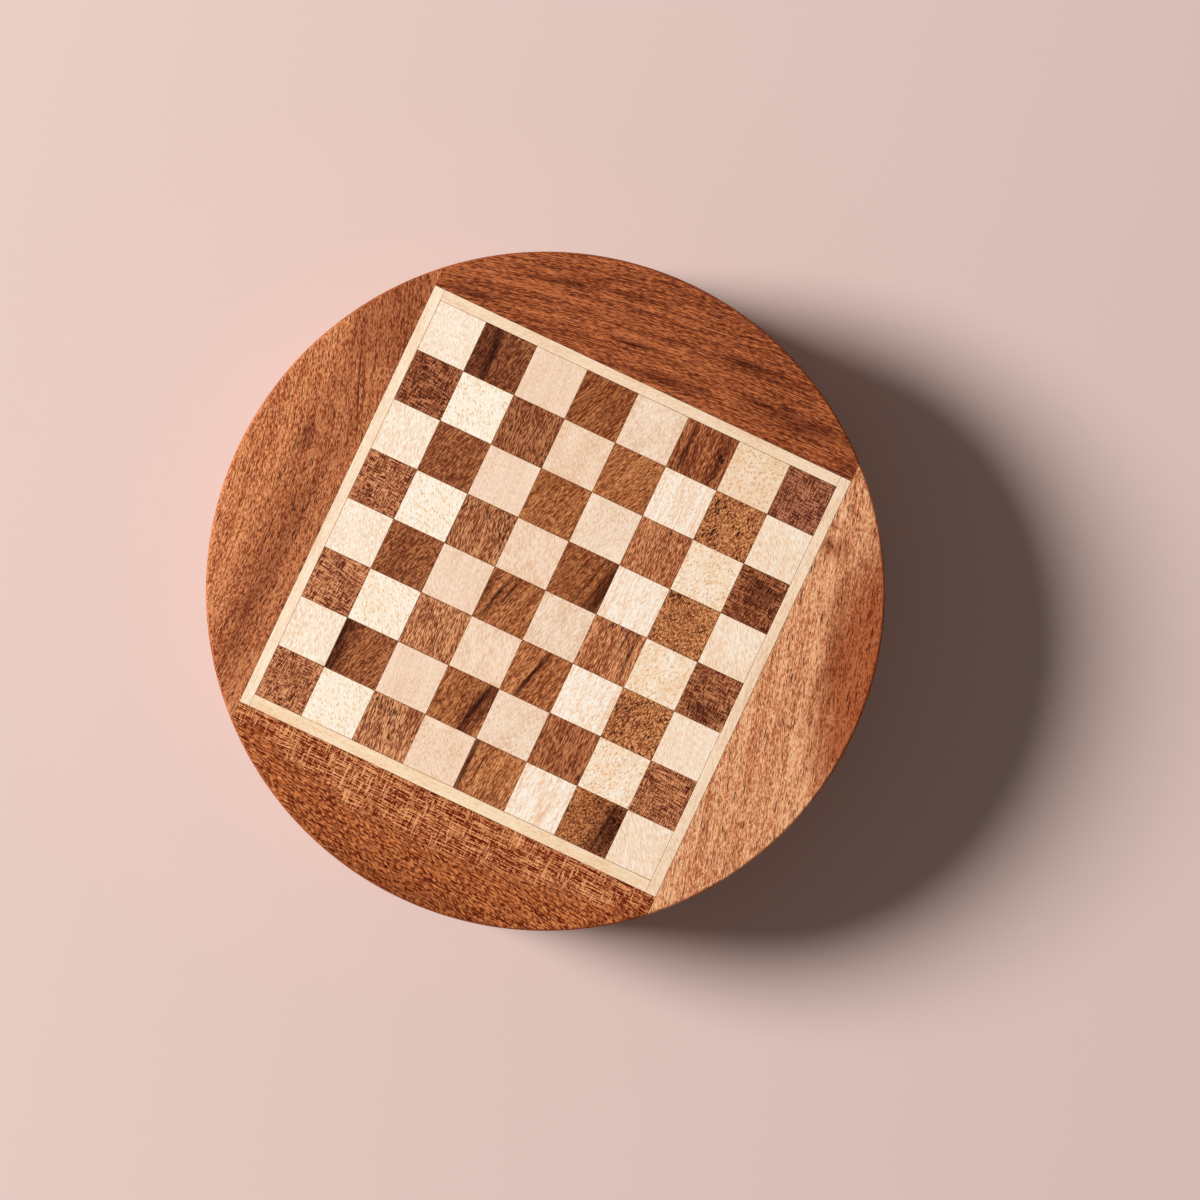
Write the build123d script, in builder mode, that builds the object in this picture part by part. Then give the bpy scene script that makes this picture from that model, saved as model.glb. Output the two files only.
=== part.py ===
# Round magnetic checkers set: a wooden drum under a chequered lid.
# The lid swings sideways on a screw near the rim and uncovers two felt-lined wells,
# one for the light checkers and one for the dark ones.
# A steel sheet under the inlaid squares holds the magnet in each checker.
# Millimetres, +Z up. The origin is the centre of the felt under the drum.
# +X runs across the files of the board, and +Y along them, towards the pivot.

import os
from math import sqrt

from build123d import *

os.makedirs("parts", exist_ok=True)

# Drum and lid
drum_radius = 89.0
base_height = 29.7
lid_core_thickness = 10.0
lid_gap = 0.3
rim_round = 0.8
foot_round = 1.5
seam_chamfer = 0.4

# Chequered inlay: a square board whose corners stay this far inside the rim.
# Files run along Y and the two outer ones are trimmed narrower
board_corner_margin = 3.86
files = 8
ranks = 8
outer_file_trim = 1.3
inlay_thickness = 2.0
glue_line = 0.08
side_strip_width = 2.9
far_strip_width = 3.0
near_strip_width = 3.4

# Steel sheet let into the lid core
steel_thickness = 0.5
steel_margin = 1.5
steel_clearance = 0.2

# Wells in the drum and the felt in and under it
well_wall = 18.0
well_floor = 11.0
well_corner_radius = 8.0
rib_width = 9.0
felt_thickness = 1.0
felt_clearance = 0.3
foot_felt_thickness = 1.0
foot_felt_inset = 3.0

# Pivot screw with a washer under its head and a washer that the lid turns on
pivot_edge_distance = 9.0
screw_radius = 2.0
screw_bite = 8.0
screw_tip_length = 1.5
screw_tip_radius = 0.8
screw_head_radius = 3.9
screw_head_height = 2.6
screw_head_edge = 1.4
screw_slot_length = 4.4
screw_slot_width = 0.9
screw_slot_depth = 1.5
screw_fit = 0.02
running_clearance = 0.05
washer_hole_clearance = 0.2
screw_washer_radius = 4.8
screw_washer_thickness = 0.8
screw_well_radius = 5.4
screw_well_depth = 9.0
pivot_washer_radius = 5.5
pivot_washer_thickness = 1.0

# Magnets, and the pockets that they are glued into
checker_magnet_radius = 3.0
checker_magnet_thickness = 1.5
checker_magnet_recess = 0.1
pocket_clearance = 0.05

# Checkers: turned discs with a dished top and one ring, a little smaller than the narrowest square
checker_square_margin = 0.675
checker_height = 4.5
checker_edge_round = 0.6
checker_dish_inset = 2.0
checker_dish_depth = 0.5
checker_dish_slope = 0.4
checker_ring_inset = 1.2
checker_ring_width = 0.4
checker_ring_depth = 0.25
checker_spacing = 3.0
checker_columns = 3
checker_rows = 4

# Levels, from the floor up
base_bottom = foot_felt_thickness
base_top = base_bottom + base_height
lid_bottom = base_top + lid_gap
inlay_bottom = lid_bottom + lid_core_thickness
lid_top = inlay_bottom + inlay_thickness
well_bottom = base_bottom + well_floor
screw_washer_top = base_bottom + screw_well_depth
screw_seat = screw_washer_top - screw_washer_thickness - running_clearance

# Plan of the board, of the wells and of a checker
board_size = (drum_radius - board_corner_margin) * sqrt(2)
file_width = (board_size - 2 * side_strip_width + 2 * outer_file_trim) / files
outer_file_width = file_width - outer_file_trim
rank_depth = (board_size - far_strip_width - near_strip_width) / ranks
field_left = -board_size / 2 + side_strip_width
field_near = -board_size / 2 + near_strip_width
field_far = board_size / 2 - far_strip_width
well_radius = drum_radius - well_wall
pivot_y = drum_radius - pivot_edge_distance
strip_middle_x = board_size / 2 - side_strip_width / 2
end_strip_length = board_size - 2 * side_strip_width
steel_size = board_size - 2 * steel_margin
steel_pocket_size = steel_size + 2 * steel_clearance
checker_radius = min(outer_file_width, rank_depth) / 2 - checker_square_margin


def save(builder, name):
    # One STEP file holds one named piece, or one group of like pieces
    builder.part.label = name
    export_step(builder.part, f"parts/{name}.step")


def upper_round_edges(builder):
    return builder.edges().filter_by(GeomType.CIRCLE).group_by(Axis.Z)[-1]


def lower_round_edges(builder):
    return builder.edges().filter_by(GeomType.CIRCLE).group_by(Axis.Z)[0]


def file_span(file):
    # Left side and width of a file, counted from 0 at the left of the board
    if file == 0:
        return field_left, outer_file_width
    left = field_left + outer_file_width + (file - 1) * file_width
    return left, outer_file_width if file == files - 1 else file_width


# Outline of the right-hand well: a half moon with routed corners
with BuildSketch() as well_outline:
    Circle(well_radius)
    with Locations(((rib_width + well_radius) / 2, 0)):
        Rectangle(well_radius, 2 * well_radius, mode=Mode.INTERSECT)
    fillet(well_outline.vertices(), well_corner_radius)

with BuildSketch() as felt_outline:
    offset(well_outline.sketch, amount=-felt_clearance)

# Drum, turned from one block
with BuildPart() as base_drum:
    with BuildSketch(Plane.XY.offset(base_bottom)):
        Circle(drum_radius)
    extrude(amount=base_height)
    chamfer(upper_round_edges(base_drum), seam_chamfer)
    fillet(lower_round_edges(base_drum), foot_round)
    with BuildSketch(Plane.XY.offset(base_top)):
        add(well_outline.sketch)
        mirror(about=Plane.YZ)
    extrude(amount=well_bottom - base_top, mode=Mode.SUBTRACT)
    # Way for the pivot screw, with a well for its head below and a seat for the washer above
    with BuildSketch(Plane.XY.offset(base_bottom)):
        with Locations((0, pivot_y)):
            Circle(screw_radius + running_clearance)
    extrude(amount=base_height, mode=Mode.SUBTRACT)
    with BuildSketch(Plane.XY.offset(base_bottom)):
        with Locations((0, pivot_y)):
            Circle(screw_well_radius)
    extrude(amount=screw_well_depth, mode=Mode.SUBTRACT)
    with BuildSketch(Plane.XY.offset(base_top)):
        with Locations((0, pivot_y)):
            Circle(pivot_washer_radius + pocket_clearance)
    extrude(amount=lid_gap - running_clearance - pivot_washer_thickness, mode=Mode.SUBTRACT)
save(base_drum, "base_drum")

# Felt under the drum hides the screw well
with BuildPart() as foot_felt:
    with BuildSketch():
        Circle(drum_radius - foot_felt_inset)
    extrude(amount=foot_felt_thickness)
save(foot_felt, "foot_felt")

# Felt on the floor of each well
with BuildPart() as well_felts:
    with BuildSketch(Plane.XY.offset(well_bottom)):
        add(felt_outline.sketch)
        mirror(about=Plane.YZ)
    extrude(amount=felt_thickness)
save(well_felts, "well_felts")

# Lid core: carries the inlay and takes the screw from below
with BuildPart() as lid_core:
    with BuildSketch(Plane.XY.offset(lid_bottom)):
        Circle(drum_radius)
    extrude(amount=lid_core_thickness)
    chamfer(lower_round_edges(lid_core), seam_chamfer)
    with BuildSketch(Plane.XY.offset(inlay_bottom)):
        Rectangle(steel_pocket_size, steel_pocket_size)
    extrude(amount=-steel_thickness, mode=Mode.SUBTRACT)
    with BuildSketch(Plane.XY.offset(lid_bottom)):
        with Locations((0, pivot_y)):
            Circle(screw_radius + screw_fit)
    extrude(amount=screw_bite, mode=Mode.SUBTRACT)
save(lid_core, "lid_core")

with BuildPart() as steel_sheet:
    with BuildSketch(Plane.XY.offset(inlay_bottom)):
        Rectangle(steel_size, steel_size)
    extrude(amount=-steel_thickness)
save(steel_sheet, "steel_sheet")

# Squares, each cut from the strip of its file. The near left square is dark
for remainder, wood in enumerate(("dark", "light")):
    with BuildPart() as squares:
        with BuildSketch(Plane.XY.offset(inlay_bottom)):
            for file in range(files):
                left, width = file_span(file)
                for rank in range(ranks):
                    if (file + rank) % 2 == remainder:
                        middle = field_near + (rank + 0.5) * rank_depth
                        with Locations((left + width / 2, middle)):
                            Rectangle(width - glue_line, rank_depth - glue_line)
        extrude(amount=inlay_thickness)
    save(squares, f"{wood}_squares")

# Border strips: the side strips run full length and the other two butt between them
with BuildPart() as border_strips:
    with BuildSketch(Plane.XY.offset(inlay_bottom)):
        with Locations((-strip_middle_x, 0), (strip_middle_x, 0)):
            Rectangle(side_strip_width - glue_line, board_size - glue_line)
        with Locations((0, field_far + far_strip_width / 2)):
            Rectangle(end_strip_length - glue_line, far_strip_width - glue_line)
        with Locations((0, field_near - near_strip_width / 2)):
            Rectangle(end_strip_length - glue_line, near_strip_width - glue_line)
    extrude(amount=inlay_thickness)
save(border_strips, "border_strips")

# Rim segments: the side ones are whole chords and the end ones fit between them
with BuildPart() as side_rim_segments:
    with BuildSketch(Plane.XY.offset(inlay_bottom)):
        Circle(drum_radius)
        Rectangle(board_size + glue_line, 2 * drum_radius, mode=Mode.SUBTRACT)
    extrude(amount=inlay_thickness)
    fillet(upper_round_edges(side_rim_segments), rim_round)
save(side_rim_segments, "side_rim_segments")

with BuildPart() as end_rim_segments:
    with BuildSketch(Plane.XY.offset(inlay_bottom)):
        Circle(drum_radius)
        Rectangle(board_size - glue_line, 2 * drum_radius, mode=Mode.INTERSECT)
        Rectangle(board_size, board_size + glue_line, mode=Mode.SUBTRACT)
    extrude(amount=inlay_thickness)
    fillet(upper_round_edges(end_rim_segments), rim_round)
save(end_rim_segments, "end_rim_segments")

# Pivot screw: turns with the lid, and its head hangs under the drum's washer
screw_tip = lid_bottom + screw_bite
with BuildPart() as pivot_screw:
    with BuildSketch(Plane.XZ.offset(-pivot_y)):
        with BuildLine():
            Polyline(
                (0, screw_seat - screw_head_height),
                (screw_head_radius - screw_head_edge, screw_seat - screw_head_height),
            )
            Line(
                (screw_head_radius, screw_seat - screw_head_height + screw_head_edge),
                (screw_head_radius, screw_seat),
            )
            RadiusArc(
                (screw_head_radius - screw_head_edge, screw_seat - screw_head_height),
                (screw_head_radius, screw_seat - screw_head_height + screw_head_edge),
                -screw_head_edge,
            )
            Polyline(
                (screw_head_radius, screw_seat),
                (screw_radius, screw_seat),
                (screw_radius, screw_tip - screw_tip_length),
                (screw_tip_radius, screw_tip),
                (0, screw_tip),
                (0, screw_seat - screw_head_height),
            )
        make_face()
    revolve(axis=Axis((0, pivot_y, 0), (0, 0, 1)))
    with BuildSketch(Plane.XY.offset(screw_seat - screw_head_height)):
        with Locations((0, pivot_y)):
            Rectangle(screw_slot_length, screw_slot_width)
            Rectangle(screw_slot_width, screw_slot_length)
    extrude(amount=screw_slot_depth, mode=Mode.SUBTRACT)
save(pivot_screw, "pivot_screw")

# One washer lies under the screw's head, and the lid turns on the other
with BuildPart() as pivot_washers:
    with BuildSketch(Plane.XY.offset(screw_washer_top)):
        with Locations((0, pivot_y)):
            Circle(screw_washer_radius)
            Circle(screw_radius + washer_hole_clearance, mode=Mode.SUBTRACT)
    extrude(amount=-screw_washer_thickness)
    with BuildSketch(Plane.XY.offset(lid_bottom - running_clearance)):
        with Locations((0, pivot_y)):
            Circle(pivot_washer_radius)
            Circle(screw_radius + washer_hole_clearance, mode=Mode.SUBTRACT)
    extrude(amount=-pivot_washer_thickness)
save(pivot_washers, "pivot_washers")

# Checker form, on its own axis with its foot at zero
magnet_pocket_depth = checker_magnet_thickness + checker_magnet_recess
dish_rim_radius = checker_radius - checker_dish_inset
ring_radius = checker_radius - checker_ring_inset
ring_inside = ring_radius - checker_ring_width / 2
ring_outside = ring_radius + checker_ring_width / 2
with BuildPart() as checker_form:
    with BuildSketch():
        Circle(checker_radius)
    extrude(amount=checker_height)
    fillet(checker_form.edges().filter_by(GeomType.CIRCLE), checker_edge_round)
    with BuildSketch(Plane.XZ):
        with BuildLine():
            Polyline(
                (0, checker_height),
                (0, checker_height - checker_dish_depth),
                (dish_rim_radius - checker_dish_slope, checker_height - checker_dish_depth),
                (dish_rim_radius, checker_height),
                (0, checker_height),
            )
        make_face()
        with BuildLine():
            Polyline(
                (ring_inside, checker_height),
                (ring_radius, checker_height - checker_ring_depth),
                (ring_outside, checker_height),
                (ring_inside, checker_height),
            )
        make_face()
    revolve(axis=Axis.Z, mode=Mode.SUBTRACT)
    with BuildSketch():
        Circle(checker_magnet_radius + pocket_clearance)
    extrude(amount=magnet_pocket_depth, mode=Mode.SUBTRACT)

with BuildPart() as magnet_form:
    with BuildSketch(Plane.XY.offset(checker_magnet_recess)):
        Circle(checker_magnet_radius)
    extrude(amount=checker_magnet_thickness)

# Checkers lie flat on the felt in staggered rows, light ones in the right-hand well
checker_pitch = 2 * checker_radius + checker_spacing
checker_foot = well_bottom + felt_thickness
well_middle_x = (rib_width / 2 + well_radius) / 2
checker_places = []
for row in range(checker_rows):
    stagger = checker_pitch / 4 if row % 2 else -checker_pitch / 4
    for column in range(checker_columns):
        checker_places.append(
            (
                well_middle_x + (column - (checker_columns - 1) / 2) * checker_pitch + stagger,
                (row - (checker_rows - 1) / 2) * checker_pitch,
            )
        )

for wood, direction in (("light", 1), ("dark", -1)):
    for number, (x, y) in enumerate(checker_places, start=1):
        with BuildPart() as checker:
            with Locations((direction * x, y, checker_foot)):
                add(checker_form.part)
        save(checker, f"{wood}_checker_{number:02d}")
        with BuildPart() as checker_magnet:
            with Locations((direction * x, y, checker_foot)):
                add(magnet_form.part)
        save(checker_magnet, f"{wood}_checker_magnet_{number:02d}")

print("overall height", round(lid_top, 2), "board", round(board_size, 2), "rank", round(rank_depth, 3))
print("file", round(file_width, 3), "outer file", round(outer_file_width, 3))
print("pivot at y", pivot_y, "room over a checker", round(lid_bottom - checker_foot - checker_height, 2))
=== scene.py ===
# Looks of a round travel checkers set: a wooden drum under a chequered lid that swivels.
# Metres in the model's own frame: +X across the files, +Y towards the pivot, +Z up.
# Grain and figure sizes are in millimetres, and a turn leans the grain from +Y towards -X.

import math
from functools import partial

import bmesh
import bpy
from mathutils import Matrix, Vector


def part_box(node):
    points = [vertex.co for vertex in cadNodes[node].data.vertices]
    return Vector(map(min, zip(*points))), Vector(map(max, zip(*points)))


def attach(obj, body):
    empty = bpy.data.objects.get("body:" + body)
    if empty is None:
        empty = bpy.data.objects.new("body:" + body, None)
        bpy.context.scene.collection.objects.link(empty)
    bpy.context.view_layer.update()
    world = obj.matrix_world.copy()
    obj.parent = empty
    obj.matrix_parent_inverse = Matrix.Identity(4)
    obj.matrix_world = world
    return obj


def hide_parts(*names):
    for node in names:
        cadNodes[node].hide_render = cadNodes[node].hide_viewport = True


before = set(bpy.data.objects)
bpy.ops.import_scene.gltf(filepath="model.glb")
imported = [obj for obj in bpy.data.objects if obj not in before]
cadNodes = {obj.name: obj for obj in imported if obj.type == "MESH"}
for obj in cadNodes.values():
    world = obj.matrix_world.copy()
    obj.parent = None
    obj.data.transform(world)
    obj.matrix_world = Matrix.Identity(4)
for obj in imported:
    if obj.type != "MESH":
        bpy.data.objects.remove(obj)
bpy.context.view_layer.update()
mm = 0.001
bpy.ops.object.select_all(action="DESELECT")
print("frame loaded:", len(cadNodes), "nodes")

boardLow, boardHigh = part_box("border_strips")
fieldLow = Vector(map(min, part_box("dark_squares")[0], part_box("light_squares")[0]))
fieldHigh = Vector(map(max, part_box("dark_squares")[1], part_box("light_squares")[1]))


# Camera: straight above the board, turned as the set is seen

cameraPlan = {
    "middle": (0.0139, 0.0040),
    "aboveBoard": 1.0,
    "turn": 25.22,
    "seenWidth": 0.3142,
    "sensor": 36.0,
}


def addCamera():
    plan = cameraPlan
    place = (*plan["middle"], boardHigh.z + plan["aboveBoard"])
    bpy.ops.object.camera_add(location=place, rotation=(0, 0, math.radians(plan["turn"])))
    camera = bpy.context.object
    camera.name = "camera"
    camera.data.sensor_width = plan["sensor"]
    camera.data.lens = plan["sensor"] * plan["aboveBoard"] / plan["seenWidth"]
    camera.data.clip_end = 20
    bpy.context.scene.camera = camera


addCamera()
print("camera placed")


# Nodes: short ways to add one and to work out values with them


def linear(colour):
    # A colour on the 0 to 255 scale, as the renderer counts light
    parts = [c / 255 for c in colour]
    return (*[c / 12.92 if c < 0.04045 else ((c + 0.055) / 1.055) ** 2.4 for c in parts], 1)


def feed(tree, node, feeds):
    # Gives each socket a value, or links it to another node's output
    for socket, value in feeds.items():
        if isinstance(value, bpy.types.NodeSocket):
            tree.links.new(value, node.inputs[socket])
        else:
            node.inputs[socket].default_value = value


def addNode(tree, kind, feeds=None, **settings):
    node = tree.nodes.new("ShaderNode" + kind)
    for name, value in settings.items():
        setattr(node, name, value)
    feed(tree, node, feeds or {})
    return node


def calc(operation, tree, *terms, clamp=False):
    feeds = dict(enumerate(terms))
    return addNode(tree, "Math", feeds, operation=operation, use_clamp=clamp).outputs[0]


def calcVector(operation, tree, *terms):
    return addNode(tree, "VectorMath", dict(enumerate(terms)), operation=operation).outputs[0]


plus = partial(calc, "ADD")
minus = partial(calc, "SUBTRACT")
times = partial(calc, "MULTIPLY")


def join(tree, *numbers):
    return addNode(tree, "CombineXYZ", dict(enumerate(numbers))).outputs[0]


def split(tree, place):
    return addNode(tree, "SeparateXYZ", {0: place}).outputs


def lengthOf(tree, *sides):
    squares = [calc("POWER", tree, side, 2) for side in sides]
    return calc("SQRT", tree, plus(tree, *squares))


def swingOf(tree, value, amount):
    # A value from 0 to 1 as a swing to either side, the amount from end to end
    return times(tree, minus(tree, value, 0.5), amount)


def mixColours(tree, share, first, second, way="MIX"):
    feeds = {0: share, 6: first, 7: second}
    return addNode(tree, "Mix", feeds, data_type="RGBA", blend_type=way).outputs[2]


def mixTones(tree, lower, upper, tones):
    # From deep to middle as lower goes from 0 to 1, then to pale as upper does
    pale, middle, deep = map(linear, tones)
    return mixColours(tree, upper, mixColours(tree, lower, deep, middle), pale)


def noise(tree, place, detail=0, scale=1, output=0):
    feeds = {"Vector": place, "Scale": scale, "Detail": detail}
    return addNode(tree, "TexNoise", feeds).outputs[output]


def easeBetween(tree, value, low, high, lowest=0, highest=1):
    # Runs smoothly from lowest to highest as the value goes from low to high
    feeds = {0: value, 1: low, 2: high, 3: lowest, 4: highest}
    return addNode(tree, "MapRange", feeds, interpolation_type="SMOOTHSTEP").outputs[0]


def makeGroup(name, numbers, outputs):
    # An empty shared effect that reads a place and numbers, 0 where none is given
    tree = bpy.data.node_groups.new(name, "ShaderNodeTree")
    addSocket = tree.interface.new_socket
    addSocket(name="Place", in_out="INPUT", socket_type="NodeSocketVector")
    for label in numbers:
        addSocket(name=label, in_out="INPUT", socket_type="NodeSocketFloat")
    for label, kind in outputs.items():
        addSocket(name=label, in_out="OUTPUT", socket_type="NodeSocket" + kind)
    given = tree.nodes.new("NodeGroupInput").outputs
    result = tree.nodes.new("NodeGroupOutput").inputs
    return tree, given, result


def useGroup(tree, group, feeds):
    return addNode(tree, "Group", feeds, node_tree=group).outputs


# Shared effects of wood: each reads a place in millimetres

grainNumbers = ("Across", "Along", "Turn")

# What each list of a wood gives, in order
effectNumbers = {
    "figure": (*grainNumbers, "Strength", "Patch", "Patchiness"),
    "pores": (*grainNumbers, "Amount", "Patch", "Crowding"),
    "flecks": (*grainNumbers, "Amount", "Size", "Patch", "Patchiness"),
    "streaks": ("Middle X", "Middle Y", "Turn", "Half Width", "Half Length"),
    "rings": ("Pith Y", "Pith Z", "Ring", "Wander", "Strength"),
}


def turnBack(tree, place, turn):
    # The place with grain that leans by a turn in degrees stood upright
    feeds = {"Vector": place, "Angle": times(tree, turn, -math.pi / 180)}
    return addNode(tree, "VectorRotate", feeds, rotation_type="Z_AXIS").outputs[0]


def grainPlace(tree, given):
    # The place along the turned grain, and the same in the figure's own lengths
    turned = turnBack(tree, given["Place"], given["Turn"])
    across = given["Across"]
    counted = calcVector("DIVIDE", tree, turned, join(tree, across, given["Along"], across))
    return turned, calcVector("ADD", tree, counted, given["Seed"])


def patches(tree, turned, given, detail=0):
    # Slow patches in which a figure grows stronger or its marks crowd
    return noise(tree, calcVector("DIVIDE", tree, turned, given["Patch"]), detail)


def makeGrainFigure():
    # Lighter and darker grain, stronger in some patches than in others
    numbers = (*effectNumbers["figure"], "Seed")
    tree, given, result = makeGroup("grainFigure", numbers, {"Tone": "Float"})
    turned, place = grainPlace(tree, given)
    tone = swingOf(tree, noise(tree, place, 1), given["Strength"])
    weakest = minus(tree, 1, given["Patchiness"])
    patchEdge = (0.4, 0.6)
    share = easeBetween(tree, patches(tree, turned, given), *patchEdge, weakest, 1)
    tree.links.new(times(tree, tone, share), result["Tone"])
    return tree


porePlan = {"detail": 0.6, "rarest": 0.82, "reach": 0.4, "soft": 0.11}


def makePoreDashes():
    # Open pores: short dashes along the grain, crowded in some patches
    plan = porePlan
    numbers = (*effectNumbers["pores"], "Seed")
    tree, given, result = makeGroup("poreDashes", numbers, {"Mask": "Float"})
    turned, place = grainPlace(tree, given)
    crowd = swingOf(tree, patches(tree, turned, given, 1), given["Crowding"])
    level = plus(tree, noise(tree, place, plan["detail"]), crowd)
    reach = times(tree, given["Amount"], plan["reach"])
    threshold = minus(tree, plan["rarest"], reach)
    full = plus(tree, threshold, plan["soft"])
    tree.links.new(easeBetween(tree, level, threshold, full), result["Mask"])
    return tree


fleckPlan = {"raggedScale": 1.6, "ragged": (0.7, 0.7, 0.7), "core": 0.45, "soft": 0.25}


def makeScatteredFlecks():
    # Separate flecks, as rays cut across, more in some patches than in others
    plan = fleckPlan
    numbers = (*effectNumbers["flecks"], "Seed")
    tree, given, result = makeGroup("scatteredFlecks", numbers, {"Mask": "Float"})
    turned, place = grainPlace(tree, given)
    ragged = noise(tree, place, 1, plan["raggedScale"], "Color")
    ragged = calcVector("MULTIPLY_ADD", tree, ragged, plan["ragged"], place)
    cells = addNode(tree, "TexVoronoi", {"Vector": ragged, "Scale": 1}).outputs
    core = times(tree, given["Size"], plan["core"])
    spot = easeBetween(tree, cells["Distance"], core, given["Size"], 1, 0)
    chance = addNode(tree, "SeparateColor", {0: cells["Color"]}).outputs[0]
    crowd = swingOf(tree, patches(tree, turned, given, 1), given["Patchiness"])
    missing = minus(tree, 1, given["Amount"])
    full = plus(tree, missing, plan["soft"])
    shown = easeBetween(tree, plus(tree, chance, crowd), missing, full)
    tree.links.new(times(tree, spot, shown), result["Mask"])
    return tree


def makeHandStreak():
    # One streak or zone at a chosen place: an ellipse with a wandering edge
    numbers = (*effectNumbers["streaks"], "Wander", "Core")
    tree, given, result = makeGroup("handStreak", numbers, {"Mask": "Float"})
    middle = join(tree, given["Middle X"], given["Middle Y"])
    away = calcVector("SUBTRACT", tree, given["Place"], middle)
    turned = turnBack(tree, away, given["Turn"])
    parts = split(tree, turned)
    wanderLengths = (1.3, 14, 1.3)
    stretched = calcVector("DIVIDE", tree, turned, wanderLengths)
    stretched = calcVector("ADD", tree, stretched, middle)
    wobble = minus(tree, noise(tree, stretched, 3), 0.5)
    side = calc("MULTIPLY_ADD", tree, wobble, given["Wander"], parts[0])
    across = calc("DIVIDE", tree, side, given["Half Width"])
    along = calc("DIVIDE", tree, parts[1], given["Half Length"])
    reach = lengthOf(tree, across, along)
    tree.links.new(easeBetween(tree, reach, given["Core"], 1, 1, 0), result["Mask"])
    return tree


def makeSquareCell():
    # A square's own cut of its strip, and how far a place lies inside its edges
    numbers = ("Left", "Near", "Width", "Depth")
    outputs = {"Shift": "Vector", "Chance": "Float", "Inside": "Float"}
    tree, given, result = makeGroup("squareCell", numbers, outputs)
    parts = split(tree, given["Place"])
    up = minus(tree, parts[1], given["Near"])
    row = calc("FLOOR", tree, calc("DIVIDE", tree, up, given["Depth"]))
    cell = join(tree, row, given["Left"])
    chance = addNode(tree, "TexWhiteNoise", {"Vector": cell}, noise_dimensions="2D").outputs
    farthest = (160, 240, 90)
    tree.links.new(calcVector("MULTIPLY", tree, chance["Color"], farthest), result["Shift"])
    tree.links.new(chance["Value"], result["Chance"])
    fromNear = minus(tree, up, times(tree, row, given["Depth"]))
    fromLeft = minus(tree, parts[0], given["Left"])
    sides = [
        calc("MINIMUM", tree, distance, minus(tree, given[span], distance))
        for distance, span in ((fromNear, "Depth"), (fromLeft, "Width"))
    ]
    tree.links.new(calc("MINIMUM", tree, *sides), result["Inside"])
    return tree


def makeGrowthRings():
    # Rings about a pith beside the piece, for wood whose end grain shows; grain along X
    tree, given, result = makeGroup("growthRings", effectNumbers["rings"], {"Tone": "Float"})
    parts = split(tree, given["Place"])
    swayLengths = (90, 22, 22)
    slow = calcVector("DIVIDE", tree, given["Place"], swayLengths)
    sway = swingOf(tree, noise(tree, slow, 1), given["Wander"])
    fromY = minus(tree, parts[1], given["Pith Y"])
    fromZ = minus(tree, parts[2], given["Pith Z"])
    radius = plus(tree, lengthOf(tree, fromY, fromZ), sway)
    count = calc("DIVIDE", tree, radius, given["Ring"])
    lineLength = 400
    line = join(tree, count, calc("DIVIDE", tree, parts[0], lineLength))
    tree.links.new(swingOf(tree, noise(tree, line, 2), given["Strength"]), result["Tone"])
    return tree


coatPlan = {"patchScale": 0.09, "patchSwing": 0.3, "patchHeight": 0.6}
gritPlan = {"scale": 1.7, "swing": 0.12}


def makeLacquer():
    # Satin lacquer: its gloss comes and goes in patches, with a fine grit over them
    outputs = {"Roughness": "Float", "Height": "Float"}
    tree, given, result = makeGroup("lacquer", ["Satin"], outputs)
    slow = noise(tree, given["Place"], 2, coatPlan["patchScale"])
    grit = noise(tree, given["Place"], 1, gritPlan["scale"])
    grit = swingOf(tree, grit, gritPlan["swing"])
    rough = plus(tree, given["Satin"], swingOf(tree, slow, coatPlan["patchSwing"]))
    tree.links.new(plus(tree, rough, grit, clamp=True), result["Roughness"])
    height = plus(tree, times(tree, slow, coatPlan["patchHeight"]), grit)
    tree.links.new(height, result["Height"])
    return tree


grainFigure = makeGrainFigure()
poreDashes = makePoreDashes()
scatteredFlecks = makeScatteredFlecks()
handStreak = makeHandStreak()
squareCell = makeSquareCell()
growthRings = makeGrowthRings()
lacquer = makeLacquer()
print("shared effects made")


# Wood: a figure from deep to pale, with pores, flecks and streaks over it
# tones: pale, middle, deep
# figure: across, along, turn, strength, then patch and patchiness where it comes and goes
# pores: across, along, turn, amount, colour, strength, patch, crowding
# flecks: across, along, turn, amount, size, colour, strength, patch, patchiness
# streaks: x, y, turn, half width, half length, colour, strength, then its even core's share
# bends: (middle, rate) of the slow curve along Y, then along X
# wave: length of its wander, its reach in the plane, and its reach up where it has one
# rings: the pith's y and z, a ring's width, how far it wanders, strength
# beyond: past a line, another figure: the line's y, its bow, how soft and how wandering it is
# satin: the lacquer's roughness; gloss: how much it mirrors

woodPlan = {
    "contrast": 1.3, "toneHeight": 0.35, "coatHeight": 0.25, "satin": 0.6, "gloss": 0.07,
    "layerSeed": 7.3, "markSeed": 3.7, "widestWander": 12, "core": 0.2,
    # edgeShadeBand and edgeShadeShare place the painted shade on the rounded rim edge: its band
    # inside the rim, and its strongest share
    "cutSwing": 0.1, "zoneScale": 0.16, "edgeShadeBand": (0.9, 0.1), "edgeShadeShare": 0.5,
    "jointScale": 1.4, "jointFray": 0.3, "jointBand": (0.12, 0.42),
    "bump": {"Strength": 0.35, "Distance": 0.00004},
}


def newMaterial(name):
    material = bpy.data.materials.new(name)
    material.use_nodes = True
    tree = material.node_tree
    tree.nodes.clear()
    shader = addNode(tree, "BsdfPrincipled")
    output = addNode(tree, "OutputMaterial")
    tree.links.new(shader.outputs[0], output.inputs["Surface"])
    return material, tree, shader


def millimetres(tree, turn=(0, 0, 0)):
    # The place on the piece in millimetres, turned about the model's axes in degrees
    where = addNode(tree, "TexCoord").outputs["Object"]
    turned = [math.radians(t) for t in turn]
    feeds = {"Vector": where, "Scale": (1000, 1000, 1000), "Rotation": turned}
    return addNode(tree, "Mapping", feeds).outputs[0]


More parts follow.
